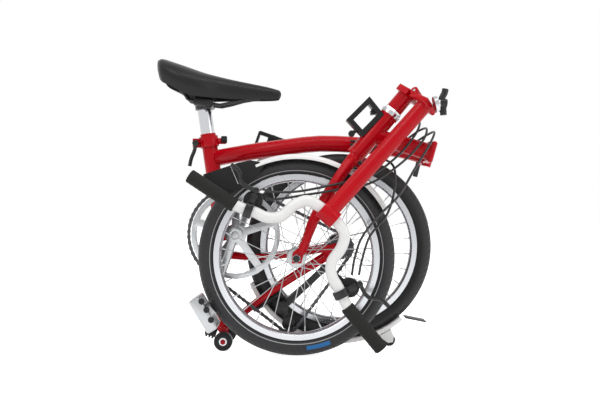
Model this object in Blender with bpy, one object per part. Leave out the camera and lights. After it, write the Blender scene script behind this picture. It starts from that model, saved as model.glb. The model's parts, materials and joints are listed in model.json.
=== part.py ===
"""Folding bicycle, standing folded with its saddle up.

Frame: origin under the front wheel where its tyre meets the floor, +X towards the
front, +Y towards the bike's left side, +Z up.  Lengths below are in millimetres and
P() turns them into metres.
"""
import math

import bmesh
import bpy
from mathutils import Matrix, Vector

MM = 0.001
GAP = 0.3                 # clearance between touching pieces

# wheels
WHEEL_Y = 110.0           # rear wheel plane; the front wheel plane is Y = 0
TYRE_R = 209.0
FOOT_FLAT = 0.5           # how far the tread is pressed flat where it stands
TYRE_HALF_WIDTH = 17.0
RIM_OUT_R = 176.6
RIM_IN_R = 160.0
RIM_HALF_WIDTH = 11.0
SPOKES = 12
WHEEL_STEPS = 40
GUARD_R = 216.5
GUARD_WALL = 2.0

# main frame
REAR_AXLE = (95.0, 225.8)
BB = (-134.0, 254.4)
PIVOT = (-209.0, 222.0)
SEAT_LOW = (-166.6, 240.0)
SEAT_TOP = (-201.4, 480.0)
SEAT_TUBE_R = 17.5
POST_R = 15.7
POST_BORE_R = 16.1
MAIN_TUBE_R = 18.5
MAIN_TUBE = [(-184, 425), (-106, 439), (-33, 449), (52, 458), (143, 454.5), (225, 446), (282.4, 432.7)]

# main hinge: its pin line leans forward and lies between the two wheel planes
HINGE = Vector((292.0, 55.0, 430.0))
PIN = Vector((0.272, 0.0, 0.9623))
ALONG = Vector((0.9623, 0.0, -0.272))

# steering line and handlepost
UP = Vector((0.6445, 0.0, 0.7646))
FORE = Vector((0.7646, 0.0, -0.6445))
SIDE = Vector((0.0, 1.0, 0.0))
STEER = Vector((97.2, 0.0, 391.3))
POST_HINGE_UP = 222.0
POST_OFFSET = 42.0
POST_TILT = -0.058
POST_FOLD = math.radians(176.0)
POST_LENGTH = 326.0
HANDLEPOST_R = 16.5

# handlebar: width and rise of its curve, seen from the clamp
BAR_CENTRE = Vector((60.7, -86.0, 296.1))
BAR_WIDE = Vector((0.742, 0.0, -0.670))
BAR_RISE = Vector((-0.670, 0.0, -0.742))
BAR_R = 11.5
BAR_CURVE = [(0, -6), (24, -6), (50, 1), (64, 26), (69, 60), (88, 81), (114, 90), (135, 98), (190, 105), (254, 111)]
GRIP_R = 14.5

# cranks
CRANK = 170.0
CRANK_DIR = Vector((-0.33, 0.0, -0.944))
CHAIN_Y = 58.0
CHAINRING_R = 100.0


def P(v, y=None, z=None):
    """A point in metres from millimetres."""
    return Vector(v) * MM if y is None else Vector((v, y, z)) * MM


def steer(up, fore, side):
    """A point given along the steering line, ahead of it and to its side."""
    return STEER + UP * up + FORE * fore + SIDE * side


def bar(wide, rise, side=0.0):
    """A point in the handlebar's own plane."""
    return BAR_CENTRE + BAR_WIDE * wide + BAR_RISE * rise + SIDE * side


def seat(z):
    """A point on the seat tube's centre line at height z."""
    t = (z - SEAT_LOW[1]) / (SEAT_TOP[1] - SEAT_LOW[1])
    return Vector((SEAT_LOW[0] + t * (SEAT_TOP[0] - SEAT_LOW[0]), WHEEL_Y, z))


def frame_towards(axis):
    """Rotation that turns +Z to the given direction."""
    return Vector(axis).to_track_quat('Z', 'Y').to_matrix().to_4x4()


# ---------------------------------------------------------------- mesh makers
def new_object(bm, name="shape"):
    mesh = bpy.data.meshes.new(name)
    bm.to_mesh(mesh)
    bm.free()
    obj = bpy.data.objects.new(name, mesh)
    bpy.context.scene.collection.objects.link(obj)
    return obj


def rod(a, b, r, sides=16, r2=None):
    """A round bar from a to b, tapered when r2 is given."""
    a, b = P(a), P(b)
    bm = bmesh.new()
    bmesh.ops.create_cone(bm, cap_ends=True, segments=sides, radius1=r * MM,
                          radius2=(r if r2 is None else r2) * MM, depth=(b - a).length,
                          matrix=Matrix.Translation((a + b) / 2) @ frame_towards(b - a))
    return new_object(bm)


def block(centre, size, x_dir=(1, 0, 0), z_dir=(0, 0, 1), bevel=0.0):
    """A box with its X edge along x_dir and its Z edge along z_dir."""
    z = Vector(z_dir).normalized()
    x = Vector(x_dir)
    x = (x - z * x.dot(z)).normalized()
    y = z.cross(x)
    turn = Matrix((x, y, z)).transposed().to_4x4()
    bm = bmesh.new()
    bmesh.ops.create_cube(bm, size=1.0)
    bmesh.ops.scale(bm, vec=Vector(size) * MM, verts=bm.verts)
    if bevel:
        bmesh.ops.bevel(bm, geom=bm.edges[:], offset=bevel * MM, segments=1, affect='EDGES')
    bmesh.ops.transform(bm, matrix=Matrix.Translation(P(centre)) @ turn, verts=bm.verts)
    return new_object(bm)


def smooth_path(points, steps):
    """Points of a Catmull-Rom curve through the given ones, evenly spaced by count."""
    pts = [Vector(p) for p in points]
    pts = [pts[0] * 2 - pts[1]] + pts + [pts[-1] * 2 - pts[-2]]
    path = []
    spans = len(pts) - 3
    for k in range(steps + 1):
        s = min(k / steps * spans, spans - 1e-9)
        i, t = int(s), s - int(s)
        a, b, c, d = pts[i:i + 4]
        path.append(0.5 * (2 * b + (c - a) * t + (2 * a - 5 * b + 4 * c - d) * t * t
                           + (3 * b - a - 3 * c + d) * t ** 3))
    return path


def pipe(path, r, resolution=4, closed=False):
    """A round tube along a path: a curve with a bevel and filled caps, made a mesh."""
    curve = bpy.data.curves.new("pipe", 'CURVE')
    curve.dimensions = '3D'
    curve.bevel_depth = r * MM
    curve.bevel_resolution = resolution
    curve.use_fill_caps = not closed
    spline = curve.splines.new('POLY')
    spline.points.add(len(path) - 1)
    for point, co in zip(spline.points, path):
        point.co = (*P(co), 1.0)
    spline.use_cyclic_u = closed
    obj = bpy.data.objects.new("pipe", curve)
    bpy.context.scene.collection.objects.link(obj)
    made = bake(obj)
    bm = bmesh.new()
    bm.from_mesh(made.data)
    bmesh.ops.remove_doubles(bm, verts=bm.verts, dist=0.01 * MM)
    bm.to_mesh(made.data)
    bm.free()
    return made


def plate(outline, y0, y1):
    """An (x, z) outline made a flat plate between two Y planes."""
    bm = bmesh.new()
    face = bm.faces.new([bm.verts.new(P(x, y0, z)) for x, z in outline])
    out = bmesh.ops.extrude_face_region(bm, geom=[face])
    moved = [v for v in out["geom"] if isinstance(v, bmesh.types.BMVert)]
    bmesh.ops.translate(bm, vec=(0, (y1 - y0) * MM, 0), verts=moved)
    bmesh.ops.recalc_face_normals(bm, faces=bm.faces)
    return new_object(bm)


def ring(profile, centre, axis, steps, start=0.0, sweep=None):
    """A closed (radius, along) profile turned about an axis, all round or part of it."""
    full = sweep is None
    count = steps if full else steps + 1
    turn = frame_towards(axis)
    bm = bmesh.new()
    rows = []
    for k in range(count):
        ang = start + (2 * math.pi if full else sweep) * k / steps
        rows.append([bm.verts.new(P(centre) + turn @ P(r * math.cos(ang), r * math.sin(ang), h))
                     for r, h in profile])
    m = len(profile)
    for k in range(steps):
        a, b = rows[k], rows[(k + 1) % count]
        for j in range(m):
            bm.faces.new((a[j], a[(j + 1) % m], b[(j + 1) % m], b[j]))
    if not full:
        bm.faces.new(rows[0])
        bm.faces.new(rows[-1])
    bmesh.ops.recalc_face_normals(bm, faces=bm.faces)
    return new_object(bm)


def collar(a, b, r_out, r_in, sides=20):
    """A round sleeve from a to b."""
    a, b = Vector(a), Vector(b)
    length = (b - a).length
    return ring([(r_in, 0), (r_out, 0), (r_out, length), (r_in, length)], a, b - a, sides)


def bake(obj):
    """Replace an object by the mesh that its modifiers or curve give."""
    depsgraph = bpy.context.evaluated_depsgraph_get()
    mesh = bpy.data.meshes.new_from_object(obj.evaluated_get(depsgraph))
    made = bpy.data.objects.new("shape", mesh)
    bpy.context.scene.collection.objects.link(made)
    bpy.data.objects.remove(obj)
    return made


def combine(base, others, operation):
    for other in others:
        step = base.modifiers.new(operation.lower(), 'BOOLEAN')
        step.operation = operation
        step.solver = 'EXACT'
        step.object = other
    made = bake(base)
    for other in others:
        bpy.data.objects.remove(other)
    return made


def join(base, *others):
    return combine(base, others, 'UNION')


def cut(base, *others):
    return combine(base, others, 'DIFFERENCE')


# ---------------------------------------------------------------- finishes
FINISH = {
    "red_paint": ((0.60, 0.006, 0.02), 0.22, 0.0),
    "white_paint": ((0.85, 0.85, 0.83), 0.2, 0.0),
    "chrome": ((0.8, 0.8, 0.82), 0.12, 1.0),
    "silver": ((0.62, 0.63, 0.64), 0.35, 1.0),
    "black_metal": ((0.02, 0.02, 0.022), 0.35, 0.3),
    "black_plastic": ((0.025, 0.025, 0.027), 0.5, 0.0),
    "grip_foam": ((0.03, 0.03, 0.032), 0.85, 0.0),
    "tyre_rubber": ((0.035, 0.035, 0.037), 0.7, 0.0),
    "saddle_cover": ((0.02, 0.02, 0.02), 0.55, 0.0),
    "chain_steel": ((0.05, 0.05, 0.055), 0.4, 0.8),
    "cable_black": ((0.015, 0.015, 0.016), 0.45, 0.0),
}
EMPTIES = {}


def finish_material(slot, name):
    colour, rough, metal = FINISH[slot]
    mat = bpy.data.materials.new(name + "_" + slot)
    mat.use_nodes = True
    shader = mat.node_tree.nodes["Principled BSDF"]
    shader.inputs["Base Color"].default_value = (*colour, 1.0)
    shader.inputs["Roughness"].default_value = rough
    shader.inputs["Metallic"].default_value = metal
    return mat


def body(name, at=(0, 0, 0), parent=None):
    """An empty on a moving body's joint line, hung on its parent body's empty."""
    empty = bpy.data.objects.new(name + "_joint", None)
    empty.empty_display_size = 0.03
    bpy.context.scene.collection.objects.link(empty)
    base = P(EMPTIES[parent][1]) if parent else Vector()
    empty.location = P(at) - base
    if parent:
        empty.parent = EMPTIES[parent][0]
    EMPTIES[name] = (empty, Vector(at))


def node(obj, name, slot, on):
    """Name a finished piece, give it its finish and hang it on its body."""
    empty, at = EMPTIES[on]
    obj.name = name
    obj.data.name = name
    obj.data.transform(Matrix.Translation(-P(at)))
    obj.data.materials.clear()
    obj.data.materials.append(finish_material(slot, name))
    obj.data.shade_smooth()
    obj.data.set_sharp_from_angle(angle=math.radians(35))
    obj.parent = empty


# ---------------------------------------------------------------- wheels
def tyre(centre):
    """A round tyre with a narrower foot that sits just outside the rim."""
    mid = 193.4
    profile = [(177.6, -9.0), (177.6, 9.0)]
    crown = math.cos(math.radians(118 / 5))
    for k in range(6):
        ang = math.radians(118 - 236 * k / 5)
        profile.append((mid + (TYRE_R + FOOT_FLAT - mid) * math.cos(ang) / crown, TYRE_HALF_WIDTH * math.sin(ang)))
    flat = TYRE_R / math.cos(math.pi / WHEEL_STEPS) - TYRE_R
    profile = [(r + (flat if r > 200 else 0.0), y) for r, y in profile]
    return ring(profile, centre, SIDE, WHEEL_STEPS, start=math.pi / WHEEL_STEPS)


def rim(centre):
    w = RIM_HALF_WIDTH
    profile = [(RIM_IN_R, -4), (RIM_IN_R + 3, -w), (RIM_OUT_R, -w), (RIM_OUT_R, w),
               (RIM_IN_R + 3, w), (RIM_IN_R, 4)]
    return ring(profile, centre, SIDE, WHEEL_STEPS)


def hub_and_spokes(centre, half, bore):
    """Hub shell with two flanges and crossed spokes, as one piece."""
    c = Vector(centre)
    flange = half - 4.0
    profile = [(bore, -half), (12, -half), (12, -flange - 2), (22, -flange - 2), (22, -flange + 1),
               (13, -flange + 4), (13, flange - 4), (22, flange - 1), (22, flange + 2),
               (12, flange + 2), (12, half), (bore, half)]
    hub = ring(profile, c, SIDE, 24)
    turn = frame_towards(SIDE)
    spokes = []
    for k in range(SPOKES):
        side = 1 if k % 2 else -1
        lead = (1 if k % 4 < 2 else -1) * math.radians(58)
        outer = 2 * math.pi * k / SPOKES
        inner = outer + lead + 0.03
        tip = RIM_IN_R + 7.3
        a = c + turn @ Vector((18.5 * math.cos(inner), 18.5 * math.sin(inner), side * flange))
        b = c + turn @ Vector((tip * math.cos(outer), tip * math.sin(outer), side * 2.5))
        spokes.append(rod(a, b, 1.2, 4))
    return join(hub, *spokes)


def wheel(name, centre, half, bore):
    band = tyre(centre)
    if name == "front":
        band = cut(band, block((0, 0, -10), (80, 20, 60), (1, 0, 0), SIDE))
    node(band, name + "_tyre", "tyre_rubber", name + "_wheel")
    spoked = join(rim(centre), hub_and_spokes(centre, half, bore))
    if name == "rear":
        cog_at = Vector(centre) + SIDE * (CHAIN_Y - WHEEL_Y)
        spoked = join(spoked, collar(cog_at - SIDE * 1.5, cog_at + SIDE * 1.5, 24, bore, 24),
                      collar(cog_at, cog_at + SIDE * 14, 10.5, bore, 20))
    node(spoked, name + "_rim_and_spokes", "silver", name + "_wheel")


def guard(centre, first, last, slot_name, on):
    """A curved mudguard blade over part of the wheel, angles from +X towards +Z."""
    w = 23.0
    r, t = GUARD_R, GUARD_WALL
    profile = [(r - 9, -w), (r - 2, -w + 3.5), (r, -w + 9), (r, w - 9), (r - 2, w - 3.5), (r - 9, w),
               (r - 9, w + t), (r - 1, w - 1), (r + t, w - 8), (r + t, 8 - w), (r - 1, 1 - w), (r - 9, -w - t)]
    turn = frame_towards(SIDE)
    x_angle = math.atan2((turn.inverted() @ Vector((1, 0, 0))).y, (turn.inverted() @ Vector((1, 0, 0))).x)
    z_angle = math.atan2((turn.inverted() @ Vector((0, 0, 1))).y, (turn.inverted() @ Vector((0, 0, 1))).x)
    way = 1 if math.sin(z_angle - x_angle) > 0 else -1
    blade = ring(profile, centre, SIDE, 14, start=x_angle + way * math.radians(first),
                 sweep=way * math.radians(last - first))
    node(blade, slot_name, "white_paint", on)


# ---------------------------------------------------------------- main frame and seat
def main_frame():
    body("main_frame")
    path = smooth_path([(x, WHEEL_Y, z) for x, z in MAIN_TUBE], 14)
    end = HINGE + SIDE * (WHEEL_Y - HINGE.y)
    path.append(end - ALONG * 5)
    tube = pipe(path, MAIN_TUBE_R, 4)
    seat_tube = rod(seat(238), seat(480), SEAT_TUBE_R, 24)
    shell = rod((BB[0], WHEEL_Y - 34, BB[1]), (BB[0], WHEEL_Y + 34, BB[1]), 18, 24)
    web = plate([(-184, 268), (-150, 262), (-122, 244), (-150, 232), (-205, 210), (-216, 228)],
                WHEEL_Y - 9, WHEEL_Y + 9)
    eye = rod((PIVOT[0], WHEEL_Y - 22, PIVOT[1]), (PIVOT[0], WHEEL_Y + 22, PIVOT[1]), 13, 20)
    lug = block(HINGE + SIDE * 44 - ALONG * 6.25, (11.5, 66, 46), ALONG, PIN, 3)
    knuckles = [rod(HINGE + PIN * s * 13.8, HINGE + PIN * s * 27, 9.5, 16) for s in (-1, 1)]
    arms = [block(HINGE + SIDE * 8 - ALONG * 5.5 + PIN * s * 20.4, (9, 18.4, 12.2), ALONG, PIN) for s in (-1, 1)]
    whole = join(tube, seat_tube, shell, web, eye, lug, *knuckles, *arms)
    post_bore = rod(seat(205), seat(500), POST_BORE_R, 24)
    axle_bore = rod((BB[0], WHEEL_Y - 50, BB[1]), (BB[0], WHEEL_Y + 50, BB[1]), 9, 16)
    pin_bore = rod((PIVOT[0], WHEEL_Y - 50, PIVOT[1]), (PIVOT[0], WHEEL_Y + 50, PIVOT[1]), 6.4, 16)
    hinge_bore = rod(HINGE - PIN * 40, HINGE + PIN * 40, 4.4, 12)
    node(cut(whole, post_bore, axle_bore, pin_bore, hinge_bore), "main_frame", "red_paint", "main_frame")
    node(rod(HINGE - PIN * 27, HINGE + PIN * 27, 4.0, 12), "main_hinge_pin", "silver", "main_frame")

    low, high = seat(450), seat(474)
    band = join(collar(low, high, 21.5, SEAT_TUBE_R + 2 * GAP, 28),
                block(seat(462) + Vector((-28, 0, -3)), (16, 20, 20), (1, 0, -0.15)))
    band = cut(band, block(seat(462) + Vector((-30, 0, -3)), (40, 3, 60)),
               rod(seat(462) + Vector((-28, -30, -4)), seat(462) + Vector((-28, 30, -4)), 4.2, 12))
    knob = seat(462) + Vector((30, 0, 2))
    band = join(band, rod(knob + Vector((-9.5, 0, 0)), knob + Vector((8, 0, 0)), 7, 16))
    node(band, "seat_clamp", "red_paint", "main_frame")

    pin = seat(462) + Vector((-28, 0, -4))
    body("seat_lever", pin, "main_frame")
    handle = pipe(smooth_path([pin + Vector((0, -21, 0)), pin + Vector((-2, -22.5, -16)),
                               pin + Vector((-9, -23, -34)), pin + Vector((-13, -23, -52))], 8), 4.2, 2)
    lever = join(rod(pin + SIDE * -20, pin + SIDE * 15, 3.0, 12), rod(pin + SIDE * -25, pin + SIDE * -16, 7, 14),
                 rod(pin + SIDE * 11, pin + SIDE * 15, 5.5, 6), handle)
    node(lever, "seat_clamp_lever", "black_metal", "seat_lever")

    end_pin = HINGE + SIDE * 92 - ALONG * 6
    body("main_clamp", end_pin, "main_frame")
    lever = join(rod(end_pin - SIDE * 5, end_pin + SIDE * 12, 8, 14),
                 block(end_pin + Vector((-6, 8, -25)), (11, 7, 46), (1, 0, -0.25), (0.25, 0, 1), 1.5))
    node(lever, "main_hinge_clamp_lever", "black_metal", "main_clamp")


def seat_group():
    top = seat(563)
    body("seatpost", seat(480), "main_frame")
    node(rod(seat(275), top, POST_R, 28), "seatpost", "chrome", "seatpost")
    clamp_at = seat(549)
    clamp = join(collar(seat(536), seat(560), 20, POST_R + GAP, 24),
                 block(clamp_at + Vector((2, 0, 1)), (44, 62, 22), (1, 0, -0.17), (0.17, 0, 1), 4))
    rails = []
    for s in (-1, 1):
        rail = smooth_path([(-272, WHEEL_Y + s * 34, 592), (-248, WHEEL_Y + s * 27, 563),
                            clamp_at + Vector((-30, s * 22, 6)), clamp_at + Vector((0, s * 22, 1)),
                            clamp_at + Vector((40, s * 22, -5.7)), (-122, WHEEL_Y + s * 16, 555),
                            (-84, WHEEL_Y + s * 8, 560)], 12)
        rails.append(pipe(rail, 3.4, 2))
    clamp = cut(join(clamp, *rails), rod(seat(520), seat(580), POST_R + GAP, 24))
    node(clamp, "saddle_clamp_and_rails", "black_metal", "seatpost")
    saddle_shell()


def saddle_shell():
    """A closed saddle: sections (x, top z, under z, half width) joined along the bike."""
    sections = [(-311, 646, 628, 30), (-300, 648, 612, 52), (-272, 639, 601, 68), (-240, 628, 592, 71),
                (-208, 617, 584, 60), (-176, 609, 577, 42), (-140, 601, 574, 29), (-100, 593, 570, 22),
                (-66, 586, 567, 19), (-44, 580, 565, 14)]
    bm = bmesh.new()
    rows = []
    for x, top, low, half in sections:
        row = []
        for k in range(12):
            ang = 2 * math.pi * (k + 0.5) / 12
            y = math.copysign(abs(math.cos(ang)) ** 0.8, math.cos(ang)) * half
            z = (top + low) / 2 + math.copysign(abs(math.sin(ang)) ** 0.7, math.sin(ang)) * (top - low) / 2
            row.append(bm.verts.new(P(x, WHEEL_Y + y, z)))
        rows.append(row)
    for a, b in zip(rows, rows[1:]):
        for j in range(12):
            bm.faces.new((a[j], a[(j + 1) % 12], b[(j + 1) % 12], b[j]))
    bm.faces.new(rows[0])
    bm.faces.new(rows[-1])
    bmesh.ops.recalc_face_normals(bm, faces=bm.faces)
    node(new_object(bm), "saddle", "saddle_cover", "seatpost")


# ---------------------------------------------------------------- cranks and pedals
def crank_arm(sign, y_in, y_out):
    """A tapered arm from the spindle to the pedal eye, leaning out a little."""
    hub = Vector((BB[0], 0, BB[1]))
    tip = hub + CRANK_DIR * CRANK * -sign
    mid_in, mid_out = hub + SIDE * y_in, tip + SIDE * y_out
    across = CRANK_DIR.cross(SIDE)
    arm = block((mid_in + mid_out) / 2, (17, 11, (mid_out - mid_in).length), across, mid_out - mid_in, 3)
    boss = rod(hub + SIDE * (y_in - 8), hub + SIDE * (y_in + 8), 17, 20)
    eye = rod(mid_out - SIDE * 6.5, mid_out + SIDE * 6.5, 13, 18)
    return arm, boss, eye, mid_out


def cranks():
    body("cranks", (BB[0], WHEEL_Y, BB[1]), "main_frame")
    spindle = rod((BB[0], 38, BB[1]), (BB[0], 184, BB[1]), 8.4, 16)
    for sign, name, y_in, y_out in ((-1, "right", 45, 44), (1, "left", 168, 176)):
        arm, boss, eye, tip = crank_arm(sign, y_in, y_out)
        arm = join(arm, boss, eye)
        if sign < 0:
            arm = join(arm, rod(tip + SIDE * -84, tip + SIDE * 4, 5.0, 14))
            arm = cut(arm, rod((BB[0], 20, BB[1]), (BB[0], 90, BB[1]), 8.4 + GAP, 16))
        else:
            arm = join(arm, spindle)
        node(arm, name + "_crank", "silver", "cranks")

    hub = Vector((BB[0], CHAIN_Y, BB[1]))
    ring_part = ring([(CHAINRING_R - 14, -1.6), (CHAINRING_R - 2, -1.6), (CHAINRING_R - 2, 1.6),
                      (CHAINRING_R - 14, 1.6)], hub, SIDE, 36)
    centre = collar(hub - SIDE * 3, hub + SIDE * 3, 24, 9.4, 24)
    arms = []
    for k in range(5):
        ang = 2 * math.pi * (k + 0.25) / 5
        way = Vector((math.cos(ang), 0, math.sin(ang)))
        arms.append(block(hub + way * 54, (74, 3.4, 17), way, way.cross(SIDE)))
    node(join(ring_part, centre, *arms), "chainring", "silver", "cranks")

    tip = Vector((BB[0], 0, BB[1])) + CRANK_DIR * CRANK
    body("right_pedal", tip, "cranks")
    away = Vector((tip.x, 0, tip.z - TYRE_R)).normalized()
    along = away.cross(SIDE)
    centre = Vector((tip.x, 0, tip.z)) + away * 4.5
    body_of = centre + SIDE * -5.5
    cage = block(body_of, (78, 84, 24), along, away, 3)
    holes = [block(body_of + along * s * 24, (22, 62, 60), along, away) for s in (-1, 1)]
    axle_bore = rod(tip + SIDE * -42, tip + SIDE * 80, 6.5, 14)
    node(cut(cage, *holes, axle_bore), "right_pedal", "silver", "right_pedal")
    left_pedal()


def left_pedal():
    """The left pedal, folded up flat beside its crank."""
    away = -CRANK_DIR
    tip = Vector((BB[0], 0, BB[1])) + away * CRANK
    across = away.cross(SIDE)
    hinge = tip + away * -2 + SIDE * 194
    body("left_pedal_arm", hinge, "cranks")
    ears = [block(hinge + across * s * 14, (8, 16, 15), across, away, 2) for s in (-1, 1)]
    pin = rod(hinge - across * 19, hinge + across * 19, 4, 12)
    stalk = block(hinge + away * 7 + SIDE * 10, (36, 8, 12), across, away)
    shaft = rod(hinge + away * 4 + SIDE * 10, hinge + away * 76 + SIDE * 10, 3.6, 12)
    node(join(stalk, *ears, pin, shaft), "left_pedal_bracket", "silver", "left_pedal_arm")
    body("left_pedal", hinge + SIDE * 10, "left_pedal_arm")
    centre = hinge + away * 45 + SIDE * 10
    cage = block(centre, (76, 22, 60), across, away, 3)
    holes = [block(centre + across * s * 22, (20, 60, 42), across, away) for s in (-1, 1)]
    shaft_bore = rod(hinge + SIDE * 10 - away * 10, hinge + away * 90 + SIDE * 10, 4.2, 12)
    node(cut(cage, *holes, shaft_bore), "left_pedal", "black_plastic", "left_pedal")


# ---------------------------------------------------------------- rear frame
def roller_spot(s):
    """Axle centre of the right (-1) or left (1) front roller."""
    return Vector((-161, WHEEL_Y + s * 56, 20.4))


def rear_frame():
    pivot = Vector((PIVOT[0], WHEEL_Y, PIVOT[1]))
    axle = Vector((REAR_AXLE[0], WHEEL_Y, REAR_AXLE[1]))
    corner = Vector((-166, WHEEL_Y, 44))
    body("rear_frame", pivot, "main_frame")
    parts = []
    for s in (-1, 1):
        side = SIDE * s
        parts.append(rod(pivot + side * 22.4, pivot + side * 34, 12.5, 18))
        chain_stay = smooth_path([pivot + side * 29, pivot + side * 30 + Vector((42, 0, -16)),
                                  axle + side * 37 + Vector((-150, 0, -22)),
                                  axle + side * 56 + Vector((-26, 0, -3))], 6)
        seat_stay = smooth_path([corner + side * 12, corner + side * 24 + Vector((26, 0, 15)),
                                 axle + side * 37 + Vector((-150, 0, -99)),
                                 axle + side * 56 + Vector((-25, 0, -20))], 6)
        parts.append(pipe(chain_stay, 6.5, 2))
        parts.append(pipe(seat_stay, 7.0, 2))
        outline = [(axle.x + dx, axle.z + dz) for dx, dz in
                   ((-37, -10), (-30, 5), (-14, 8), (0, 12), (11, 4), (10, -10), (-8, -26), (-31, -31))]
        y = WHEEL_Y + s * 58
        parts.append(plate(outline, y - 2.5, y + 2.5))
        strut = [pivot + side * 30.4 + Vector((0, 0, -4)), pivot + side * 30 + Vector((5, 0, -34)), corner + side * 13]
        parts.append(pipe(smooth_path(strut, 6), 7.5, 2))
        at = roller_spot(s)
        parts.append(rod(corner + side * 20, corner + side * 47, 5, 12))
        parts.append(block((-163.5, WHEEL_Y + s * 45, 32), (12, 5, 34), (1, 0, 0), (0.2, 0, 1)))
        parts.append(rod(at - side * 12, at + side * 12, 3, 12))
        parts.append(rod(at + side * 10.4, at + side * 14, 6, 6))
    parts.append(rod(corner - SIDE * 24, corner + SIDE * 24, 12, 18))
    bridge_at = REAR_BRAKE + REAR_BRAKE_OUT * 48
    parts.append(rod(bridge_at - SIDE * 38, bridge_at + SIDE * 38, 5, 14))
    whole = join(*parts, brake_mount(REAR_BRAKE, REAR_BRAKE_OUT))
    bores = [rod(pivot - SIDE * 50, pivot + SIDE * 50, 6.4, 16), rod(axle - SIDE * 80, axle + SIDE * 80, 5.3, 16),
             *[rod(pivot + SIDE * s * 34.1, pivot + SIDE * s * 60, 11, 16) for s in (-1, 1)]]
    node(cut(whole, *bores), "rear_frame", "red_paint", "rear_frame")
    bolt = join(rod(pivot - SIDE * 36, pivot + SIDE * 36, 6.0, 16), rod(pivot - SIDE * 39, pivot - SIDE * 34.4, 9.5, 6),
                rod(pivot + SIDE * 34.4, pivot + SIDE * 39, 9.5, 6))
    node(bolt, "rear_pivot_bolt", "silver", "rear_frame")
    rod_axle = join(rod(axle - SIDE * 74, axle + SIDE * 74, 5.0, 16), rod(axle - SIDE * 69, axle - SIDE * 61, 9.5, 6),
                    rod(axle + SIDE * 61, axle + SIDE * 69, 9.5, 6))
    node(rod_axle, "rear_axle", "silver", "rear_frame")

    block_at = corner + Vector((-28, 0, -11))
    ribs = [rod(block_at + Vector((-9 + 7 * k, 0, 3 - 2.4 * k)), block_at + Vector((-5 + 7 * k, 0, 1.6 - 2.4 * k)), 15, 18)
            for k in range(3)]
    core = rod(block_at + Vector((-12, 0, 4)), block_at + Vector((12, 0, -4)), 11, 18)
    node(join(core, *ribs), "suspension_block", "black_plastic", "rear_frame")

    guard(axle, 203, 311, "rear_mudguard", "rear_frame")
    way = Vector((math.cos(math.radians(-48)), 0, math.sin(math.radians(-48))))
    flap_at = axle + way * 217
    node(block(flap_at + Vector((27, 0, -3)), (48, 44, 2.4), (1, 0, -0.2), (0.2, 0, 1)), "rear_mudguard_flap",
         "black_plastic", "rear_frame")
    roller_at = Vector((209, WHEEL_Y, 14.2))
    cheeks = [plate([(188, 21), (200, 30.5), (213, 36), (219, 24), (217, 10), (206, 8)], WHEEL_Y + s * 10 - 1.5,
                    WHEEL_Y + s * 10 + 1.5) for s in (-1, 1)]
    pad = block(roller_at + Vector((-10, 0, 14.8)), (34, 24, 4), (1, 0, 0.6), (-0.6, 0, 1))
    roller_pin = rod(roller_at - SIDE * 11, roller_at + SIDE * 11, 2.5, 10)
    node(join(pad, *cheeks, roller_pin), "rear_roller_bracket", "white_paint", "rear_frame")
    body("rear_roller", roller_at, "rear_frame")
    node(collar(roller_at - SIDE * 7.5, roller_at + SIDE * 7.5, 13.6, 3.0, 24), "rear_roller", "black_plastic", "rear_roller")
    for s, side in ((-1, "right"), (1, "left")):
        at = roller_spot(s)
        body(side + "_roller", at, "rear_frame")
        node(collar(at - SIDE * (9 - s), at + SIDE * (9 + s), 20.2, 3.5, 24), side + "_roller",
             "black_plastic", side + "_roller")

    body("rear_wheel", axle, "rear_frame")
    wheel("rear", axle, 40.0, 5.4)
    tensioner(axle)
    brake("rear", REAR_BRAKE, REAR_BRAKE_OUT, "rear_frame")


def tensioner(axle):
    """Sprung chain tensioner: an arm on the rear frame with two small wheels."""
    at = Vector((60, CHAIN_Y + 12, 178))
    low = Vector((-32, CHAIN_Y + 12, 92))
    body("tensioner", at, "rear_frame")
    arm = join(block((at + low) / 2, (15, 3.5, (low - at).length), (0.68, 0, -0.73), low - at), rod(at - SIDE * 5, at + SIDE * 5, 9, 16),
               rod(low - SIDE * 15, low + SIDE * 4, 4, 12), rod(low + Vector((14, -15, -34)), low + Vector((14, 4, -34)), 4, 12),
               block(low + Vector((7, 0, -17)), (14, 3.5, 44), (1, 0, 0), (0.38, 0, -0.92)))
    wheels = []
    for spot in (low, low + Vector((14, 0, -34))):
        wheel_at = Vector((spot.x, CHAIN_Y, spot.z))
        wheels.append(rod(wheel_at - SIDE * 1.6, wheel_at + SIDE * 1.6, 14.4, 22))
    node(join(arm, *wheels), "tensioner", "black_metal", "tensioner")


REAR_BRAKE_OUT = Vector((-0.8229, 0.0, -0.5684))
REAR_BRAKE = Vector((REAR_AXLE[0], WHEEL_Y, REAR_AXLE[1])) + REAR_BRAKE_OUT * 186


def brake_mount(at, out):
    """The middle block of a caliper, beyond the tyre and the mudguard."""
    across = out.cross(SIDE)
    top = at + out * 48
    return join(block(top, (10, 36, 14), across, out, 2), rod(top - across * 8, top + across * 20, 3.5, 12))


def brake(name, at, out, on):
    """Two arms that pivot on the caliper's block and carry the pads.

    at is the point over the rim edge, out points away from the wheel's centre."""
    across = out.cross(SIDE)
    top = at + out * 48
    for s, side in ((-1, "right"), (1, "left")):
        pivot = top + SIDE * s * 11 + across * 9.5
        body(name + "_brake_" + side, pivot, on)
        path = [pivot + SIDE * s * 3, pivot + SIDE * s * 20 - out * 8, pivot + SIDE * s * 23 - out * 40,
                pivot + SIDE * s * 12 - out * 62]
        pad = block(pivot + SIDE * s * 5.5 - out * 64, (38, 7, 11), across, out, 1.5)
        arm = join(pipe(smooth_path(path, 8), 4.2, 2), rod(pivot - across * 4, pivot + across * 4, 7, 14), pad)
        node(arm, name + "_brake_arm_" + side, "black_metal", name + "_brake_" + side)


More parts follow.
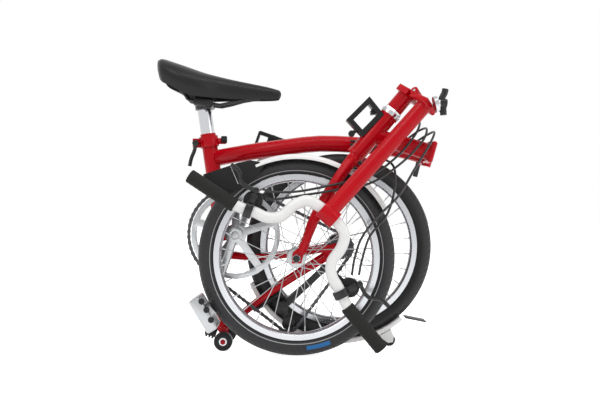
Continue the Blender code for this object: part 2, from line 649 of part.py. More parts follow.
# ---------------------------------------------------------------- front frame, fork, handlebar
def front_frame():
    body("front_frame", HINGE, "main_frame")
    end = HINGE - SIDE * HINGE.y
    lug = block(HINGE - SIDE * 44 - ALONG * 6.25, (11.5, 66, 46), ALONG, PIN, 3)
    knuckle = rod(HINGE - PIN * 13.2, HINGE + PIN * 13.2, 9.5, 16)
    arm = block(HINGE - SIDE * 8 - ALONG * 5.5, (9, 18.4, 25.2), ALONG, PIN)
    stub = rod(end - ALONG * 5, steer(99, 0, 0), 17.5, 24)
    head = rod(steer(52, 0, 0), steer(152, 0, 0), 19, 24)
    whole = join(lug, knuckle, arm, stub, head, rod(steer(151, 0, 0), steer(164, 0, 0), 20.5, 24),
                 rod(steer(42, 0, 0), steer(53, 0, 0), 20, 24))
    node(cut(whole, rod(steer(20, 0, 0), steer(180, 0, 0), 14, 20), rod(HINGE - PIN * 40, HINGE + PIN * 40, 4.4, 12)),
         "front_frame", "red_paint", "front_frame")

    carrier = cut(block(steer(100, -28.5, 0), (62, 19, 20), UP, FORE, 2),
                  rod(steer(20, 0, 0), steer(180, 0, 0), 19 + GAP, 24))
    node(carrier, "carrier_block", "black_plastic", "front_frame")
    catch_at = steer(134.6, -31, 0)
    body("carrier_catch", catch_at, "front_frame")
    node(join(block(catch_at + UP * 4, (8, 24, 12), UP, FORE, 1.5), rod(catch_at - SIDE * 14, catch_at + SIDE * 14, 3, 12)),
         "carrier_catch", "black_plastic", "carrier_catch")


FRONT_BRAKE = Vector((0, 0, TYRE_R)) + UP * 186


def fork():
    body("fork", steer(100, 0, 0), "front_frame")
    axle = Vector((0, 0, TYRE_R))
    parts = [rod(steer(30, 0, 0), steer(218, 0, 0), 12.5, 20), block(steer(31, 0, 0), (17, 84, 26), UP, FORE, 4)]
    for s in (-1, 1):
        leg = smooth_path([steer(32, 0, s * 36), steer(-20, 3, s * 38.5), steer(-110, 20, s * 42), axle + SIDE * s * 45 + UP * 14], 7)
        parts.append(pipe(leg, 9.0, 3))
        outline = [(-10, -10), (10, -10), (16, 12), (4, 22), (-8, 12)]
        parts.append(plate([(x, TYRE_R + z) for x, z in outline], s * 45 - 2.5, s * 45 + 2.5))
    parts.append(brake_mount(FRONT_BRAKE, UP))
    parts.append(rod(FRONT_BRAKE + UP * 46 - FORE * 40, FRONT_BRAKE + UP * 46, 3.5, 10))
    whole = cut(join(*parts), rod(axle - SIDE * 60, axle + SIDE * 60, 5.0, 16))
    node(whole, "fork", "red_paint", "fork")
    rod_axle = join(rod(axle - SIDE * 55, axle + SIDE * 55, 4.5, 16), rod(axle - SIDE * 54, axle - SIDE * 47.9, 9, 6),
                    rod(axle + SIDE * 47.9, axle + SIDE * 54, 9, 6))
    node(rod_axle, "front_axle", "silver", "fork")
    stem = join(rod(steer(166, 0, 0), steer(212, 0, 0), 18, 24),
                block(steer(214, 2.8, -2.8), (14, 32, 50), UP, SIDE + FORE))
    hinge_line, hinge_at = post_hinge()
    stem = join(stem, rod(hinge_at - hinge_line * 12, hinge_at + hinge_line * 12, 8.2, 14),
                block(hinge_at - UP * 8 - (FORE - SIDE).normalized() * 8, (14, 22.6, 11), FORE - SIDE, UP))
    stem = cut(stem, rod(steer(100, 0, 0), steer(260, 0, 0), 12.9, 20),
               rod(hinge_at - hinge_line * 60, hinge_at + hinge_line * 60, 3.4, 12))
    node(stem, "stem_base", "red_paint", "fork")
    guard(axle, 27.5, 114, "front_mudguard", "fork")
    way = Vector((math.cos(math.radians(131)), 0, math.sin(math.radians(131))))
    flap_path = [axle + Vector((math.cos(a), 0, math.sin(a))) * (GUARD_R + 1 + lift) for a, lift in
                 ((math.radians(114.4), 0), (math.radians(124), 2), (math.radians(133), 9), (math.radians(140), 20))]
    flap_outline = [(p.x, p.z) for p in flap_path] + [(p.x + way.x * -3, p.z - 3) for p in reversed(flap_path)]
    node(plate(flap_outline, -24, 24), "front_mudguard_flap", "black_plastic", "fork")
    brake("front", FRONT_BRAKE, UP, "fork")
    body("front_wheel", axle, "fork")
    wheel("front", axle, 34.0, 5.0)


def post_hinge():
    """Line and centre of the handlepost's hinge."""
    line = (UP * POST_TILT + FORE * 0.706 + SIDE * 0.706).normalized()
    return line, steer(POST_HINGE_UP, POST_OFFSET / 2, -POST_OFFSET / 2)


def handlepost():
    line, at = post_hinge()
    body("handlepost", at, "fork")
    turn = Matrix.Rotation(POST_FOLD, 3, line)
    down = turn @ UP
    if down.dot(SIDE) > 0:
        down = Matrix.Rotation(-POST_FOLD, 3, line) @ UP
    foot = steer(POST_HINGE_UP, POST_OFFSET, -POST_OFFSET)
    end = foot + down * POST_LENGTH
    side_way = (FORE - SIDE).normalized()
    parts = [rod(foot + down * 4, end, HANDLEPOST_R, 24),
             block(foot + down * 8 - side_way * 1.2, (14, 37, 50), down, line, 3)]
    parts += [rod(at + line * s * 12.6, at + line * s * 23, 8.5, 16) for s in (-1, 1)]
    parts += [block(at + line * s * 17.8 + side_way * 7 - UP * 7.7, (16, 14, 10.4), side_way, line) for s in (-1, 1)]
    clamp = rod(BAR_CENTRE + BAR_RISE * -6 - BAR_WIDE * 19, BAR_CENTRE + BAR_RISE * -6 + BAR_WIDE * 19, 18.5, 24)
    link = rod(end - down * 22, BAR_CENTRE + BAR_RISE * -6, 14, 20)
    whole = cut(join(*parts), rod(at - line * 12.6, at + line * 12.6, 9.2, 16))
    whole = cut(join(whole, clamp, link),
                rod(BAR_CENTRE + BAR_RISE * -6 - BAR_WIDE * 50, BAR_CENTRE + BAR_RISE * -6 + BAR_WIDE * 50, BAR_R + 1.0, 24),
                rod(at - line * 60, at + line * 60, 3.4, 12))
    node(whole, "handlepost", "red_paint", "handlepost")
    node(rod(at - line * 24, at + line * 24, 3.0, 12), "handlepost_hinge_pin", "silver", "fork")
    plate_at = foot + side_way * 31 + down * 6
    body("handlepost_clamp", plate_at, "handlepost")
    node(join(block(plate_at, (8, 24, 26), side_way, down, 2), rod(plate_at, plate_at + side_way * 16, 4, 12),
              block(plate_at + side_way * 15 + down * 14, (9, 12, 46), side_way, down, 2)), "handlepost_clamp_lever",
         "black_metal", "handlepost_clamp")

    curve = [(-w, r) for w, r in reversed(BAR_CURVE[1:])] + BAR_CURVE
    path = smooth_path([bar(w, r) for w, r in curve], 38)
    node(pipe(path, BAR_R, 3), "handlebar", "white_paint", "handlepost")
    for s, side in ((-1, "left"), (1, "right")):
        a, b = bar(s * 150, 100.0), bar(s * 262, 112.0)
        way = (b - a).normalized()
        inside = path[len(path) // 2:] if s > 0 else path[:len(path) // 2][::-1]
        grip = cut(rod(a, b, GRIP_R, 24), pipe(inside + [inside[-1] + (inside[-1] - inside[-2]).normalized()], BAR_R + 0.9, 3))
        node(grip, side + "_grip", "grip_foam", "handlepost")
        controls(s, side)


def controls(s, side):
    """Brake lever and gear changer on one end of the handlebar."""
    at = bar(s * 126, 94.4)
    way = (bar(s * 135, 98) - bar(s * 114, 90)).normalized()
    inward = -(BAR_RISE - way * BAR_RISE.dot(way)).normalized()
    mount = join(rod(at - way * 8, at + way * 8, 17, 20), block(at + inward * 24, (14, 22, 22), way, inward, 3))
    mount = cut(mount, pipe(smooth_path([bar(s * w, r) for w, r in BAR_CURVE[4:9]], 14), BAR_R + 0.6, 3))
    node(mount, side + "_brake_bracket", "black_metal", "handlepost")
    pivot = at + inward * 42
    body(side + "_brake_lever", pivot, "handlepost")
    tip = bar(s * 214, 50)
    lever = join(rod(pivot - SIDE * 8, pivot + SIDE * 8, 6.2, 14),
                 pipe(smooth_path([pivot, pivot + way * 30 + inward * 2, tip - BAR_WIDE * s * 22, tip], 8), 4.4, 2))
    node(lever, side + "_brake_lever", "black_metal", side + "_brake_lever")
    drum = at + inward * 20 + SIDE * 28
    node(rod(drum - SIDE * 10, drum + SIDE * 12, 20, 24), side + "_shifter", "black_plastic", "handlepost")
    body(side + "_shift_lever", drum, "handlepost")
    node(join(rod(drum + SIDE * 12.4, drum + SIDE * 17, 15, 20),
              block(drum + SIDE * 14.7 - way * 24 + BAR_RISE * 8, (26, 4, 9), way, BAR_RISE, 1)), side + "_shift_lever",
         "black_plastic", side + "_shift_lever")


# ---------------------------------------------------------------- chain and cables
CABLE_R = 2.2
# each cable leaves a control, passes behind the handlepost and over the main hinge
CABLES = {
    "rear_gear_cable": [(-64, -57, 331), (-30, -57, 333), (7, -56, 339), (82, -54.5, 351), (155, -50, 366),
                        (219, -42, 408), (262, -34, 452), (277, 0, 481), (268, 44, 482), (238, 76, 462),
                        (196, 86.5, 449), (120, 87.5, 455)],
    "rear_brake_cable": [(-68, -82, 352), (-44, -70, 347), (4, -57, 348), (78, -54.5, 362), (150, -50, 379),
                         (207, -42, 419), (246, -34, 464), (262, -2, 494), (256, 44, 494), (232, 74, 473),
                         (196, 86.5, 457), (120, 87.5, 463)],
    "hub_gear_cable": [(114, -57, 176), (120, -58, 212), (136, -58, 256), (172, -54, 300), (212, -48, 340),
                       (246, -42, 396), (274, -36, 440), (293, -2, 473), (286, 42, 473), (250, 76, 452),
                       (200, 86.5, 440), (120, 87.5, 447)],
    "front_brake_cable": [(127, -77, 178), (134, -68, 208), (152, -50, 256), (188, -40, 300), (204, -38, 352),
                          (204, -34, 396), (188, -20, 414), (168, -6, 412)],
}


def tangent_path(wheels, steps):
    """Closed path round circles (centre x, z, radius, way), in order.

    Between two circles the path follows their common tangent: outer where both turn
    the same way, crossed where they do not."""
    path = []
    n = len(wheels)
    ends = []
    for k in range(n):
        (x1, z1, r1, w1), (x2, z2, r2, w2) = wheels[k], wheels[(k + 1) % n]
        d = math.hypot(x2 - x1, z2 - z1)
        base = math.atan2(z2 - z1, x2 - x1)
        lean = math.acos((r1 * w1 - r2 * w2) / d)
        a = base + lean
        ends.append((a, x1 + r1 * w1 * math.cos(a), z1 + r1 * w1 * math.sin(a),
                     x2 + r2 * w2 * math.cos(a), z2 + r2 * w2 * math.sin(a)))
    for k in range(n):
        x, z, r, w = wheels[k]
        a_in = math.atan2(ends[k - 1][4] - z, ends[k - 1][3] - x)
        a_out = math.atan2(ends[k][2] - z, ends[k][1] - x)
        turn = (a_in - a_out) % (2 * math.pi) if w > 0 else -((a_out - a_in) % (2 * math.pi))
        count = max(2, int(abs(turn) * steps))
        for j in range(count + 1):
            a = a_in - turn * j / count
            path.append(Vector((x + r * math.cos(a), CHAIN_Y, z + r * math.sin(a))))
    return path


def chain_and_cables():
    wheels = [(BB[0], BB[1], 103.5, 1), (REAR_AXLE[0], REAR_AXLE[1], 28.6, 1), (-18, 58, 19, 1)]
    path = tangent_path(wheels, 5)
    bm = bmesh.new()
    n = len(path)
    rows = []
    for k in range(n):
        ahead = (path[(k + 1) % n] - path[k - 1]).normalized()
        out = ahead.cross(SIDE)
        rows.append([bm.verts.new(P(path[k] + out * a + SIDE * b)) for a, b in ((-4, -3.2), (4, -3.2), (4, 3.2), (-4, 3.2))])
    for k in range(n):
        a, b = rows[k], rows[(k + 1) % n]
        for j in range(4):
            bm.faces.new((a[j], a[(j + 1) % 4], b[(j + 1) % 4], b[j]))
    bmesh.ops.recalc_face_normals(bm, faces=bm.faces)
    node(new_object(bm), "chain", "chain_steel", "main_frame")
    for name, route in CABLES.items():
        node(pipe(smooth_path(route, 19), CABLE_R, 2), name, "cable_black", "main_frame")


def build():
    for obj in list(bpy.data.objects):
        bpy.data.objects.remove(obj, do_unlink=True)
    main_frame()
    seat_group()
    cranks()
    rear_frame()
    front_frame()
    fork()
    handlepost()
    chain_and_cables()


build()
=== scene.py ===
"""Folding bicycle, folded: surfaces, materials, light and camera.

Lengths are in millimetres until mesh_from turns them into metres. Every shape is an
array of points, (rows, points in a row, 3), joined into faces by surface() or prisms().
"""
import json
import math

import bmesh
import bpy
import numpy as np
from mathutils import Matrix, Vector


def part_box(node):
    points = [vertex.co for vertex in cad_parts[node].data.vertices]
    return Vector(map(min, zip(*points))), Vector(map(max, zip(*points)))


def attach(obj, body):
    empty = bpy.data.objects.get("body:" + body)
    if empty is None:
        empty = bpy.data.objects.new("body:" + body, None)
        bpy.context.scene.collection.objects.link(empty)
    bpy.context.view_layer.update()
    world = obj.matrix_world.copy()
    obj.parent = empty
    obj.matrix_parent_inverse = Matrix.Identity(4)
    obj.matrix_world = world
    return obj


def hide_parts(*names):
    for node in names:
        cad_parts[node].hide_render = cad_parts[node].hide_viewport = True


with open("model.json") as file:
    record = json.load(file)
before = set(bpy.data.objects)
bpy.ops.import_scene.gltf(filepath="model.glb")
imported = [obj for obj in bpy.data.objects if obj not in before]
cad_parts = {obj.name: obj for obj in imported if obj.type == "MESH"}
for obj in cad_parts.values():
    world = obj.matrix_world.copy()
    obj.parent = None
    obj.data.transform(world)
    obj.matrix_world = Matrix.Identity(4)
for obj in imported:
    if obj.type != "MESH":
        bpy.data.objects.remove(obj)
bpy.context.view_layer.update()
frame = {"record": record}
BODIES = frame["record"]["behaviour"]["bodies"]
BODY_OF = {node: body for body, nodes in BODIES.items() for node in nodes}
SLOT_OF = {part["node"]: part["material_slot"] for part in frame["record"]["subparts"]}
NODES = sorted(BODY_OF)
MM = 0.001

# wheels and mudguards
WHEEL_Y = 110.0           # rear wheel plane; the front wheel plane is Y = 0
TYRE_R = 209.0
TYRE_HALF_WIDTH = 17.0
TYRE_MID_R = 193.4        # the tyre's round section has its middle here
TYRE_WRAP = 118.0         # degrees of that section on each side of the tread's middle
BEAD = (177.8, 8.6)       # radius and half width where the tyre meets the rim
TREAD_STEPS = 720
GROOVE_DEPTH = 0.9
GROOVES = 90              # round the wheel, on each shoulder
RIM_OUT_R = 176.6
RIM_IN_R = 160.0
RIM_HALF_WIDTH = 11.0
SPOKE_COUNT = 28
SPOKE_LEAN = math.radians(72)
SPOKE_HUB_R = 17.0
GUARD_R = 216.5
GUARD_HALF_WIDTH = 23.0
GUARD_WALL = 2.0
REAR_AXLE = (95.0, 225.8)
FRONT_HUB = np.array((0.0, 0.0, TYRE_R))
REAR_HUB = np.array((REAR_AXLE[0], WHEEL_Y, REAR_AXLE[1]))
GUARDS = (("rear_mudguard", "rear_frame", REAR_HUB, 203, 311),
          ("front_mudguard", "fork", FRONT_HUB, 27.5, 114))

# steering line
UP = np.array((0.6445, 0.0, 0.7646))
FORE = np.array((0.7646, 0.0, -0.6445))
SIDE = np.array((0.0, 1.0, 0.0))
STEER = np.array((97.2, 0.0, 391.3))

# handlebar: width and rise of its curve from the clamp outwards
BAR_CENTRE = np.array((60.7, -86.0, 296.1))
BAR_WIDE = np.array((0.742, 0.0, -0.670))
BAR_RISE = np.array((-0.670, 0.0, -0.742))
BAR_R = 11.5
BAR_CURVE = [(0, -6), (24, -6), (50, 1), (64, 26), (69, 60), (88, 81), (114, 90),
             (135, 99.5), (162, 108.5), (190, 114), (254, 122)]
GRIP_R = 14.5

# chain
CRANK_AXLE = (-134.0, 254.4)
CHAIN_Y = 58.0
LINK_PITCH = 12.7
LINK_R = 3.9
LINK_WAIST = 2.7
PLATE_HALF = 0.45
COG_TEETH = 13

CABLE_R = 2.5
CABLES = {
    "rear_gear_cable": [(-64, -57, 331), (-30, -57, 333), (7, -56, 339), (82, -54.5, 351), (155, -50, 366),
                        (219, -42, 408), (262, -34, 452), (277, 0, 481), (268, 44, 482), (238, 76, 462),
                        (196, 86.5, 449), (120, 87.5, 455)],
    "rear_brake_cable": [(-68, -82, 352), (-44, -70, 347), (4, -57, 348), (78, -54.5, 362), (150, -50, 379),
                         (207, -42, 419), (246, -34, 464), (262, -2, 494), (256, 44, 494), (232, 74, 473),
                         (196, 86.5, 457), (120, 87.5, 463)],
    "hub_gear_cable": [(114, -57, 176), (120, -58, 212), (136, -58, 256), (172, -54, 300), (212, -48, 340),
                       (246, -42, 396), (274, -36, 440), (293, -2, 473), (286, 42, 473), (250, 76, 452),
                       (200, 86.5, 440), (120, 87.5, 447)],
    "front_brake_cable": [(127, -77, 178), (134, -68, 208), (152, -50, 256), (188, -40, 300), (204, -38, 352),
                          (204, -34, 396), (188, -20, 414), (168, -6, 412)],
}

# saddle stations from tail to nose: x, top, underside, half width, hem
SADDLE = [(-311, 646, 628, 30, 620), (-300, 648, 612, 52, 594), (-272, 639, 601, 68, 579),
          (-240, 628, 592, 71, 562), (-208, 617, 584, 60, 558), (-176, 609, 577, 42, 557),
          (-140, 601, 574, 29, 556), (-100, 593, 570, 22, 556), (-66, 586, 567, 19, 556),
          (-44, 580, 565, 14, 557), (-39, 578, 567, 11, 560), (-35.5, 573, 569, 5, 567)]
SADDLE_WALL = 3.4

# these CAD nodes are drawn anew below; every other one gets a smoothed copy
DRAWN = {"front_tyre", "rear_tyre", "front_rim_and_spokes", "rear_rim_and_spokes", "front_mudguard",
         "rear_mudguard", "saddle", "handlebar", "left_grip", "right_grip", "chain", "front_mudguard_flap",
         "carrier_block", "handlepost_clamp_lever"} | set(CABLES)


# ---------------------------------------------------------------- directions, paths and rings
def unit(v):
    """Each vector divided by its length."""
    return v / np.linalg.norm(v, axis=-1, keepdims=True)


def square_to(way):
    """A unit direction square to each given one.

    The largest part is replaced by minus the sum of the other two, and the other two by
    the largest part, which makes the product with the given direction nought."""
    way = np.asarray(way, float)
    biggest = np.abs(way).argmax(-1)[..., None]
    largest = np.take_along_axis(way, biggest, -1)
    out = np.repeat(largest, 3, -1)
    np.put_along_axis(out, biggest, largest - way.sum(-1, keepdims=True), -1)
    return unit(out)


def steer(up, fore, side):
    """A point given along the steering line, ahead of it and to its side."""
    return STEER + UP * up + FORE * fore + SIDE * side


def bar(wide, rise):
    """Points of the handlebar's plane: the clamp plus width and rise along its two axes."""
    wide, rise = np.asarray(wide, float)[..., None], np.asarray(rise, float)[..., None]
    return BAR_CENTRE + BAR_WIDE * wide + BAR_RISE * rise


def smooth_path(points, steps):
    """Catmull-Rom curve: between two stations each point is the cubic in t whose ends are
    those stations and whose slopes there are half the step from the station before to the
    one after. The two ends are carried on in a straight line."""
    p = np.asarray(points, float)
    p = np.vstack([2 * p[:1] - p[1:2], p, 2 * p[-1:] - p[-2:-1]])
    spans = len(p) - 3
    s = np.minimum(np.linspace(0, spans, steps + 1), spans - 1e-9)
    i = s.astype(int)
    t = (s - i)[:, None]
    a, b, c, d = p[i], p[i + 1], p[i + 2], p[i + 3]
    return 0.5 * (2 * b + (c - a) * t + (2 * a - 5 * b + 4 * c - d) * t ** 2 + (3 * b - a - 3 * c + d) * t ** 3)


def tangent_path(wheels, steps):
    """Closed path in the chain's plane round circles (centre x, z, radius, way), in order.

    Between two circles it follows their common tangent: outer where both turn the same
    way, crossed where they do not. Round a circle it is an arc of even angle steps."""
    ends = []
    for (x1, z1, r1, w1), (x2, z2, r2, w2) in zip(wheels, wheels[1:] + wheels[:1]):
        lean = math.acos((r1 * w1 - r2 * w2) / math.hypot(x2 - x1, z2 - z1))
        a = math.atan2(z2 - z1, x2 - x1) + lean
        ends.append((x1 + r1 * w1 * math.cos(a), z1 + r1 * w1 * math.sin(a),
                     x2 + r2 * w2 * math.cos(a), z2 + r2 * w2 * math.sin(a)))
    arcs = []
    for k, (x, z, r, w) in enumerate(wheels):
        a_in = math.atan2(ends[k - 1][3] - z, ends[k - 1][2] - x)
        a_out = math.atan2(ends[k][1] - z, ends[k][0] - x)
        turn = (a_in - a_out) % (2 * math.pi) if w > 0 else -((a_out - a_in) % (2 * math.pi))
        count = max(2, int(abs(turn) * steps))
        arcs.append(about_axle(r, 0.0, a_in - turn * np.arange(count + 1) / count, (x, CHAIN_Y, z)))
    return np.vstack(arcs)


def about_axle(r, y, angle, centre):
    """Points about a line along Y: x and z are r times the cosine and sine of the angle."""
    r, y, angle = np.broadcast_arrays(r, y, angle)
    return np.stack([r * np.cos(angle), y, r * np.sin(angle)], axis=-1) + np.asarray(centre, float)


def ring(across, up, sides):
    """A unit circle's points: cosine times one direction plus sine times the other."""
    t = 2 * np.pi * np.arange(sides)[:, None] / sides
    return across[..., None, :] * np.cos(t) + up[..., None, :] * np.sin(t)


# ---------------------------------------------------------------- surfaces
def surface(rows, closed=False, caps=False):
    """Rows of rings joined into one surface: each face takes two neighbours of one ring and
    the same two of the next. closed joins the last ring to the first, caps fill both ends.

    Gives the corners, the corner numbers of all faces in a line, and each face's size."""
    n, m = rows.shape[:2]
    i = np.arange(n if closed else n - 1)[:, None]
    j = np.arange(m)[None, :]
    here, there, beside = i * m, (i + 1) % n * m, (j + 1) % m
    faces = np.stack([here + j, here + beside, there + beside, there + j], axis=-1).ravel()
    sizes = np.full(len(faces) // 4, 4)
    if caps:
        faces = np.concatenate([faces, np.arange(m), np.arange((n - 1) * m, n * m)])
        sizes = np.append(sizes, [m, m])
    return rows.reshape(-1, 3), faces, sizes


def prisms(rings):
    """Many capped prisms from an array (prisms, 2 rings, points, 3): the faces of one,
    repeated with each prism's first corner added."""
    count, _, m = rings.shape[:3]
    _, faces, sizes = surface(rings[0], caps=True)
    faces = (np.arange(count)[:, None] * 2 * m + faces).ravel()
    return rings.reshape(-1, 3), faces, np.tile(sizes, count)


def gathered(parts):
    """Several surfaces as one, each one's corner numbers raised by the corners before it."""
    corners, faces, sizes = zip(*parts)
    starts = np.cumsum([0] + [len(c) for c in corners[:-1]])
    return np.vstack(corners), np.concatenate([f + s for f, s in zip(faces, starts)]), np.concatenate(sizes)


def lathe(profile, centre, steps, first=0.0, sweep=360.0):
    """An (r, y) profile turned about the line along Y through the centre, in even angle
    steps from +X towards +Z, in degrees; a part turn is capped at both ends."""
    whole = sweep >= 360.0
    angle = np.radians(first + sweep * np.arange(steps if whole else steps + 1) / steps)
    r, y = np.asarray(profile, float).T
    return surface(about_axle(r, y, angle[:, None], centre), whole, not whole)


def mirrored(half, middle=()):
    """An (r, y) profile followed by the same one backwards with y turned to minus y."""
    return list(half) + list(middle) + [(r, -y) for r, y in reversed(half)]


def tube_rings(path, r, sides, tip=None):
    """Rings on a path: each is the unit circle square to the way ahead, times a radius that
    goes evenly from r to tip. The circle's first direction is the one before it with its
    part along the path taken away, so that the rings do not twist."""
    path = np.asarray(path, float)
    ahead = unit(np.concatenate([path[1:2] - path[:1], path[2:] - path[:-2], path[-1:] - path[-2:-1]]))
    across = [square_to(ahead[0])]
    for way in ahead[1:]:
        across.append(unit(across[-1] - way * (across[-1] @ way)))
    across = np.array(across)
    radius = np.linspace(r, r if tip is None else tip, len(path))[:, None, None]
    return path[:, None] + ring(across, np.cross(ahead, across), sides) * radius


def tube(path, r, sides=20):
    """A round tube on a path, capped at both ends."""
    return surface(tube_rings(path, r, sides), caps=True)


def oval_tube(points, first, last, flat):
    """A tapering tube on a smooth path whose distance from the path along Y is cut to a share."""
    path = smooth_path(points, 30)
    rows = tube_rings(path, first, 24, last)
    middle = path[:, None, 1]
    rows[..., 1] = middle + (rows[..., 1] - middle) * flat
    return surface(rows, caps=True)


def rods(a, b, r, sides):
    """Straight round rods from each point of a to the same one of b, all at once."""
    ahead = unit(b - a)
    across = square_to(ahead)
    circle = ring(across, np.cross(ahead, across), sides) * r
    return prisms(np.stack([a[:, None] + circle, b[:, None] + circle], axis=1))


def turned_rod(start, way, stations, sides):
    """(distance, radius) stations turned about a straight line from start along way."""
    u, r = np.asarray(stations, float).T[..., None, None]
    across = square_to(way)
    return surface(start + way * u + ring(across, np.cross(way, across), sides) * r, caps=True)


def slab(outline, y0, y1, hole=None):
    """An (x, z) outline carried straight from y0 to y1; with a matching inner outline, which
    goes back from y1 to y0, it is a frame."""
    def at(points, y):
        x, z = np.asarray(points, float).T
        return np.stack([x, np.full(len(x), float(y)), z], axis=-1)
    if hole is None:
        return surface(np.stack([at(outline, y0), at(outline, y1)]), caps=True)
    return surface(np.stack([at(outline, y0), at(outline, y1), at(hole, y1), at(hole, y0)]), True)


# ---------------------------------------------------------------- materials
def shader(name, colour, rough=0.4, metal=0.0, coat=0.0, grain=300.0, uneven=0.04, bump=0.02, spec=0.5):
    """A principled material with a little noise in its roughness and its surface."""
    mat = bpy.data.materials.new(name)
    mat.use_nodes = True
    tree = mat.node_tree
    principled = tree.nodes["Principled BSDF"]
    principled.inputs["Base Color"].default_value = (*colour, 1.0)
    principled.inputs["Metallic"].default_value = metal
    principled.inputs["Coat Weight"].default_value = coat
    principled.inputs["Coat Roughness"].default_value = 0.06
    principled.inputs["Specular IOR Level"].default_value = spec
    where = tree.nodes.new("ShaderNodeTexCoord")
    noise = tree.nodes.new("ShaderNodeTexNoise")
    noise.inputs["Scale"].default_value = grain
    noise.inputs["Detail"].default_value = 4.0
    tree.links.new(where.outputs["Object"], noise.inputs["Vector"])
    spread = tree.nodes.new("ShaderNodeMapRange")
    spread.inputs["To Min"].default_value = max(0.02, rough - uneven)
    spread.inputs["To Max"].default_value = rough + uneven
    tree.links.new(noise.outputs["Fac"], spread.inputs["Value"])
    tree.links.new(spread.outputs["Result"], principled.inputs["Roughness"])
    relief = tree.nodes.new("ShaderNodeBump")
    relief.inputs["Strength"].default_value = bump
    relief.inputs["Distance"].default_value = 0.0006
    tree.links.new(noise.outputs["Fac"], relief.inputs["Height"])
    tree.links.new(relief.outputs["Normal"], principled.inputs["Normal"])
    return mat


LOOKS = {
    "red_paint": shader("look_red_paint", (0.50, 0.001, 0.008), 0.24, coat=0.06,
                        grain=60, uneven=0.02, bump=0.0, spec=0.14),
    "white_paint": shader("look_white_paint", (0.83, 0.83, 0.82), 0.22, coat=0.4,
                          grain=60, uneven=0.02, bump=0.0),
    "chrome": shader("look_chrome", (0.62, 0.63, 0.65), 0.1, 1.0, grain=40, uneven=0.03, bump=0.0),
    "silver": shader("look_silver", (0.43, 0.44, 0.45), 0.3, 1.0, grain=90, uneven=0.04, bump=0.0),
    "black_metal": shader("look_black_metal", (0.011, 0.011, 0.012), 0.32, bump=0.03, spec=0.35),
    "black_plastic": shader("look_black_plastic", (0.010, 0.010, 0.011), 0.42, grain=700, bump=0.06, spec=0.25),
    "grip_foam": shader("look_grip_foam", (0.022, 0.022, 0.021), 0.9, grain=1800, bump=0.5, spec=0.25),
    "tyre_rubber": shader("look_tyre_rubber", (0.02, 0.02, 0.021), 0.55, grain=500, bump=0.15, spec=0.35),
    "saddle_cover": shader("look_saddle_cover", (0.010, 0.010, 0.010), 0.36, grain=1400, bump=0.12, spec=0.25),
    "chain_steel": shader("look_chain_steel", (0.07, 0.07, 0.075), 0.36, 0.85, grain=200, bump=0.03),
    "cable_black": shader("look_cable_black", (0.012, 0.012, 0.013), 0.38, grain=200, bump=0.0),
}
BRIGHT = shader("look_bright_alloy", (0.50, 0.51, 0.53), 0.22, 1.0, grain=90, uneven=0.03, bump=0.0)


def banded_tyre():
    """Tyre rubber with a thin pale line and one plain blue patch, placed by the tyre's own UV.

    U goes once round the wheel from +X; V is the distance from the axle over the tyre radius."""
    line_r, line_half = 183.6, 0.75
    patch_r, patch_half = 192.0, 4.2
    patch_turn, patch_reach = 284.0, 7.6          # degrees round the wheel
    mat = LOOKS["tyre_rubber"].copy()
    mat.name = "look_tyre_sidewall"
    tree = mat.node_tree
    uv = tree.nodes.new("ShaderNodeUVMap")
    split = tree.nodes.new("ShaderNodeSeparateXYZ")
    tree.links.new(uv.outputs["UV"], split.inputs["Vector"])

    def maths(operation, first, second=None):
        node = tree.nodes.new("ShaderNodeMath")
        node.operation = operation
        for socket, value in zip(node.inputs, (first, second)):
            if isinstance(value, float):
                socket.default_value = value
            elif value is not None:
                tree.links.new(value, socket)
        return node.outputs[0]

    def near(socket, centre, half):
        """1 where the socket lies within half of the centre."""
        return maths('LESS_THAN', maths('ABSOLUTE', maths('SUBTRACT', socket, centre)), half)

    line = near(split.outputs["Y"], line_r / TYRE_R, line_half / TYRE_R)
    patch = maths('MULTIPLY', near(split.outputs["Y"], patch_r / TYRE_R, patch_half / TYRE_R),
                  near(split.outputs["X"], patch_turn / 360.0, patch_reach / 360.0))
    base = None
    for factor, colour in ((line, (0.42, 0.42, 0.43, 1.0)), (patch, (0.02, 0.16, 0.42, 1.0))):
        mix = tree.nodes.new("ShaderNodeMix")
        mix.data_type = 'RGBA'
        mix.inputs["A"].default_value = (0.022, 0.022, 0.024, 1.0)
        mix.inputs["B"].default_value = colour
        tree.links.new(factor, mix.inputs["Factor"])
        if base:
            tree.links.new(base, mix.inputs["A"])
        base = mix.outputs["Result"]
    tree.links.new(base, tree.nodes["Principled BSDF"].inputs["Base Color"])
    return mat


# ---------------------------------------------------------------- meshes
def finished(mesh, name, body, mat, replaces=(), sharp=34):
    """Link a mesh as a piece of one body, shaded smooth but for its sharp edges."""
    mesh.polygons.foreach_set("use_smooth", np.ones(len(mesh.polygons), bool))
    mesh.set_sharp_from_angle(angle=math.radians(sharp))
    obj = bpy.data.objects.new(name, mesh)
    bpy.context.scene.collection.objects.link(obj)
    mesh.materials.clear()
    mesh.materials.append(mat)
    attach(obj, body)
    if replaces:
        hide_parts(*replaces)
    return obj


